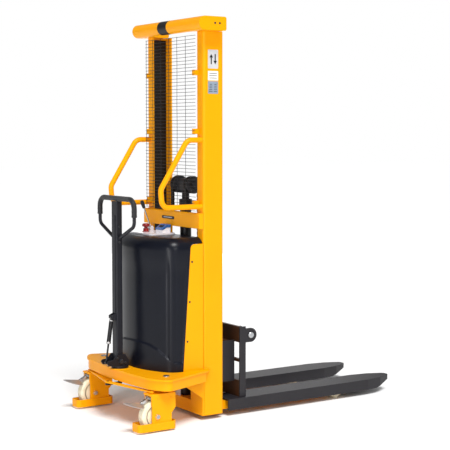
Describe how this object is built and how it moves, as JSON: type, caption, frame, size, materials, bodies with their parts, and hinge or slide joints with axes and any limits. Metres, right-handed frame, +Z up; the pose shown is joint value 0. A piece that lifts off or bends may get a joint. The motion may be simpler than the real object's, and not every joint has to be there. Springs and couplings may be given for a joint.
{
  "type": "walkie stacker truck",
  "caption": "Pedestrian stacker truck with a fixed twin-column mast, chain-lifted fork carriage, support legs under the forks, a hooded power unit and tiller-steered rear wheels.",
  "frame": {"origin": "on the floor, under the middle of the whole truck's bounding box", "axes": "+X forward towards the fork tips, +Y to the left as seen by someone walking behind the truck, +Z up along the mast"},
  "size_m": [1.8144, 0.8619, 2.08],
  "materials": {
    "yellow_paint": "gloss paint",
    "dark_paint": "satin paint",
    "black_paint": "satin paint",
    "hood_plastic": "semi-gloss moulded plastic",
    "rubber_grip": "matt",
    "chromed_rod": "polished",
    "bright_steel": "zinc plated",
    "pressed_steel": "plain steel",
    "chain_steel": "oiled",
    "cream_tread": "smooth polyurethane",
    "light_plastic": "gloss",
    "battery_case": "matt",
    "motor_case": "cast",
    "tank_plastic": "translucent look",
    "red_plastic": "gloss",
    "yellow_plastic": "gloss",
    "blue_plastic": "gloss"
  },
  "bodies": {
    "chassis": {"base_plate": "yellow_paint", "battery": "battery_case", "battery_gauge": "blue_plastic", "body_screws": "bright_steel", "chain_rear_strands": "chain_steel", "control_deck": "light_plastic", "crossbeam_fittings": "black_paint", "cylinder_barrel": "black_paint", "emergency_stop_base": "yellow_plastic", "grab_handle_left": "yellow_paint", "grab_handle_right": "yellow_paint", "guard_clips": "yellow_paint", "guard_mesh": "black_paint", "hood_cover": "hood_plastic", "hydraulic_pipe": "bright_steel", "lower_frame_plates": "yellow_paint", "mast_column_left": "yellow_paint", "mast_column_right": "yellow_paint", "mast_top_caps": "yellow_paint", "mast_top_tube": "yellow_paint", "mid_crossbeam": "yellow_paint", "oil_tank": "tank_plastic", "pump_motor": "motor_case", "side_panel_left": "yellow_paint", "side_panel_right": "yellow_paint", "support_leg_left": "yellow_paint", "support_leg_right": "yellow_paint"},
    "carriage": {"carriage_crossbars": "dark_paint", "carriage_side_plates": "dark_paint", "roller_plates": "dark_paint", "fork_left": "dark_paint", "fork_right": "dark_paint", "carriage_pins": "bright_steel", "chain_front_strands": "chain_steel"},
    "crosshead": {"piston_rod": "chromed_rod", "crosshead": "black_paint", "chain_over_wheels": "chain_steel"},
    "turret": {"turret": "black_paint"},
    "tiller": {"tiller_pole": "black_paint", "tiller_loop": "black_paint", "tiller_grips": "rubber_grip"},
    "gas_spring_cylinder": {"gas_spring_cylinder": "black_paint"},
    "gas_spring_rod": {"gas_spring_rod": "chromed_rod"},
    "steering_link": {"steering_link": "yellow_paint"},
    "control_lever": {"control_lever": "rubber_grip"},
    "stop_button": {"stop_button": "red_plastic"},
    "chain_wheel_left": {"chain_wheel_left": "black_paint"},
    "mast_roller_lower_left": {"mast_roller_lower_left": "bright_steel"},
    "mast_roller_upper_left": {"mast_roller_upper_left": "bright_steel"},
    "load_roller_left": {"load_roller_left": "cream_tread"},
    "caster_left": {"caster_left": "yellow_paint"},
    "steer_wheel_left": {"steer_wheel_left": "cream_tread"},
    "brake_pedal_left": {"brake_pedal_left": "pressed_steel"},
    "chain_wheel_right": {"chain_wheel_right": "black_paint"},
    "mast_roller_lower_right": {"mast_roller_lower_right": "bright_steel"},
    "mast_roller_upper_right": {"mast_roller_upper_right": "bright_steel"},
    "load_roller_right": {"load_roller_right": "cream_tread"},
    "caster_right": {"caster_right": "yellow_paint"},
    "steer_wheel_right": {"steer_wheel_right": "cream_tread"},
    "brake_pedal_right": {"brake_pedal_right": "pressed_steel"}
  },
  "joints": [
    {"name": "fork_lift", "type": "slide", "parent": "chassis", "child": "carriage", "axis": [0, 0, 1], "range_m": [0, 1.5], "deforming": ["chain_front_strands"]},
    {"name": "piston_slide", "type": "slide", "parent": "chassis", "child": "crosshead", "axis": [0, 0, 1], "range_m": [0, 0.75], "deforming": ["chain_rear_strands"]},
    {"name": "tiller_yaw", "type": "hinge", "parent": "chassis", "child": "turret", "pos_m": [-0.74225, 0, 0.27], "axis": [0, 0, 1], "range_deg": [-60, 60]},
    {"name": "tiller_tilt", "type": "hinge", "parent": "turret", "child": "tiller", "pos_m": [-0.75525, 0, 0.308], "axis": [0, -1, 0], "range_deg": [0, 55], "stiffness_Nm_per_rad": 60, "springref_deg": -17.19},
    {"name": "gas_spring_swing", "type": "hinge", "parent": "tiller", "child": "gas_spring_cylinder", "pos_m": [-0.78925, 0, 0.54], "axis": [0, -1, 0], "range_deg": [0, 4.85]},
    {"name": "gas_spring_stroke", "type": "slide", "parent": "gas_spring_cylinder", "child": "gas_spring_rod", "axis": [-0.1432, 0, -0.9897], "range_m": [-0.06, 0]},
    {"name": "steering_link_pivot", "type": "hinge", "parent": "turret", "child": "steering_link", "pos_m": [-0.81425, 0, 0.197], "axis": [0, 0, 1], "range_deg": [-60, 60]},
    {"name": "control_lever_swing", "type": "hinge", "parent": "chassis", "child": "control_lever", "pos_m": [-0.44125, 0.195, 0.979], "axis": [0, 1, 0], "range_deg": [-12, 12], "stiffness_Nm_per_rad": 2},
    {"name": "stop_button_press", "type": "slide", "parent": "chassis", "child": "stop_button", "axis": [0, 0, 1], "range_m": [-0.006, 0], "stiffness_N_per_m": 300, "springref_m": 0.003},
    {"name": "chain_wheel_left_spin", "type": "hinge", "parent": "crosshead", "child": "chain_wheel_left", "pos_m": [-0.33725, 0.066, 1.217], "axis": [0, 1, 0], "continuous": true},
    {"name": "mast_roller_lower_left_spin", "type": "hinge", "parent": "carriage", "child": "mast_roller_lower_left", "pos_m": [-0.34425, 0.252, 0.16], "axis": [0, 1, 0], "continuous": true},
    {"name": "mast_roller_upper_left_spin", "type": "hinge", "parent": "carriage", "child": "mast_roller_upper_left", "pos_m": [-0.34425, 0.252, 0.4], "axis": [0, 1, 0], "continuous": true},
    {"name": "load_roller_left_spin", "type": "hinge", "parent": "chassis", "child": "load_roller_left", "pos_m": [0.51075, 0.201, 0.037], "axis": [0, 1, 0], "continuous": true},
    {"name": "caster_left_yaw", "type": "hinge", "parent": "chassis", "child": "caster_left", "pos_m": [-0.67225, 0.336, 0.194], "axis": [0, 0, 1], "range_deg": [-60, 60]},
    {"name": "steer_wheel_left_spin", "type": "hinge", "parent": "caster_left", "child": "steer_wheel_left", "pos_m": [-0.73225, 0.336, 0.08], "axis": [0, 1, 0], "continuous": true},
    {"name": "brake_pedal_left_press", "type": "hinge", "parent": "caster_left", "child": "brake_pedal_left", "pos_m": [-0.75825, 0.336, 0.172], "axis": [0, -1, 0], "range_deg": [0, 8], "stiffness_Nm_per_rad": 5, "springref_deg": -11.46},
    {"name": "chain_wheel_right_spin", "type": "hinge", "parent": "crosshead", "child": "chain_wheel_right", "pos_m": [-0.33725, -0.066, 1.217], "axis": [0, 1, 0], "continuous": true},
    {"name": "mast_roller_lower_right_spin", "type": "hinge", "parent": "carriage", "child": "mast_roller_lower_right", "pos_m": [-0.34425, -0.252, 0.16], "axis": [0, 1, 0], "continuous": true},
    {"name": "mast_roller_upper_right_spin", "type": "hinge", "parent": "carriage", "child": "mast_roller_upper_right", "pos_m": [-0.34425, -0.252, 0.4], "axis": [0, 1, 0], "continuous": true},
    {"name": "load_roller_right_spin", "type": "hinge", "parent": "chassis", "child": "load_roller_right", "pos_m": [0.51075, -0.201, 0.037], "axis": [0, 1, 0], "continuous": true},
    {"name": "caster_right_yaw", "type": "hinge", "parent": "chassis", "child": "caster_right", "pos_m": [-0.67225, -0.336, 0.194], "axis": [0, 0, 1], "range_deg": [-60, 60]},
    {"name": "steer_wheel_right_spin", "type": "hinge", "parent": "caster_right", "child": "steer_wheel_right", "pos_m": [-0.73225, -0.336, 0.08], "axis": [0, 1, 0], "continuous": true},
    {"name": "brake_pedal_right_press", "type": "hinge", "parent": "caster_right", "child": "brake_pedal_right", "pos_m": [-0.75825, -0.336, 0.172], "axis": [0, -1, 0], "range_deg": [0, 8], "stiffness_Nm_per_rad": 5, "springref_deg": -11.46}
  ],
  "couplings": [
    {"joint": "piston_slide", "follows": "fork_lift", "ratio": 0.5},
    {"joint": "gas_spring_swing", "follows": "tiller_tilt", "ratio": 0.07},
    {"joint": "gas_spring_stroke", "follows": "tiller_tilt", "m_per_rad": -0.062},
    {"joint": "steering_link_pivot", "follows": "tiller_yaw", "ratio": -1},
    {"joint": "chain_wheel_left_spin", "follows": "fork_lift", "rad_per_m": -12.195},
    {"joint": "mast_roller_lower_left_spin", "follows": "fork_lift", "rad_per_m": -19.231},
    {"joint": "mast_roller_upper_left_spin", "follows": "fork_lift", "rad_per_m": 19.231},
    {"joint": "caster_left_yaw", "follows": "tiller_yaw", "ratio": 1},
    {"joint": "chain_wheel_right_spin", "follows": "fork_lift", "rad_per_m": -12.195},
    {"joint": "mast_roller_lower_right_spin", "follows": "fork_lift", "rad_per_m": -19.231},
    {"joint": "mast_roller_upper_right_spin", "follows": "fork_lift", "rad_per_m": 19.231},
    {"joint": "caster_right_yaw", "follows": "tiller_yaw", "ratio": 1}
  ]
}
